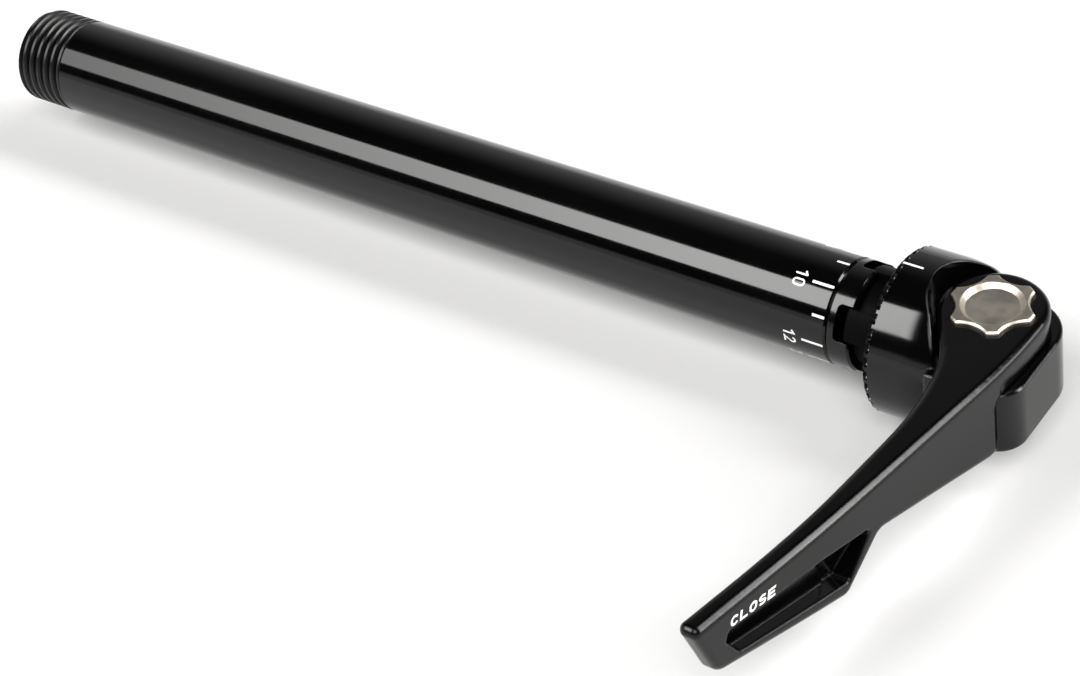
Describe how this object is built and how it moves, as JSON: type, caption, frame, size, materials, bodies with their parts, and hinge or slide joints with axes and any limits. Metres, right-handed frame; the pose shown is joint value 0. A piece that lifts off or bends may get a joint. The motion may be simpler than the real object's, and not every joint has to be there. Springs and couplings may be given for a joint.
{
  "type": "bicycle thru axle",
  "caption": "Bicycle thru axle: hollow tube with a threaded tip, a notched index collar, a scalloped clamp head and a quick-release cam lever.",
  "frame": {"origin": "centre of the head's flat clamp face, on the axle's axis", "axes": "+X outboard along the axle towards the lever, so the tube runs to -X; +Z along the cam shaft's axis, up in the picture; the closed lever points to -Y"},
  "size_m": [0.1796, 0.0767, 0.0228],
  "materials": {
    "tube_black": "black anodised, glossy",
    "collar_black": "black anodised, satin",
    "head_black": "black anodised, glossy",
    "lever_black": "black anodised, glossy",
    "sleeve_steel": "dark oxide",
    "shaft_nickel": "satin nickel",
    "yoke_steel": "machined",
    "rod_steel": "machined",
    "washer_steel": "zinc plated",
    "nut_steel": "zinc plated",
    "spring_steel": "spring wire",
    "bush_bronze": "sintered bronze",
    "washer_polymer": "dark bearing polymer",
    "clip_steel": "blackened spring steel",
    "seal_rubber": "nitrile rubber"
  },
  "bodies": {
    "axle": {"axle_tube": "tube_black", "index_collar": "collar_black", "return_spring": "spring_steel"},
    "head": {"clamp_head": "head_black", "dog_sleeve": "sleeve_steel", "neck_o_ring": "seal_rubber", "upper_bushing": "bush_bronze", "lower_bushing": "bush_bronze", "thrust_washer": "washer_polymer"},
    "lever": {"lever": "lever_black", "cam_shaft": "shaft_nickel", "shaft_washer": "washer_steel", "shaft_circlip": "clip_steel"},
    "draw": {"cam_yoke": "yoke_steel", "draw_rod": "rod_steel", "spring_washer": "washer_steel", "rod_nut": "nut_steel"}
  },
  "joints": [
    {"name": "index_pull", "type": "slide", "parent": "axle", "child": "head", "axis": [1, 0, 0], "range_m": [0, 0.002], "stiffness_N_per_m": 2500, "springref_m": -0.004, "deforming": ["return_spring"]},
    {"name": "lever_swing", "type": "hinge", "parent": "head", "child": "lever", "pos_m": [0.0133, 0, 0], "axis": [0, 0, 1], "range_deg": [0, 135]},
    {"name": "rod_draw", "type": "slide", "parent": "head", "child": "draw", "axis": [1, 0, 0], "range_m": [-0.00148, 0], "deforming": ["return_spring"]}
  ],
  "couplings": [
    {"joint": "rod_draw", "follows": "lever_swing", "m_per_rad": -0.00062737}
  ]
}
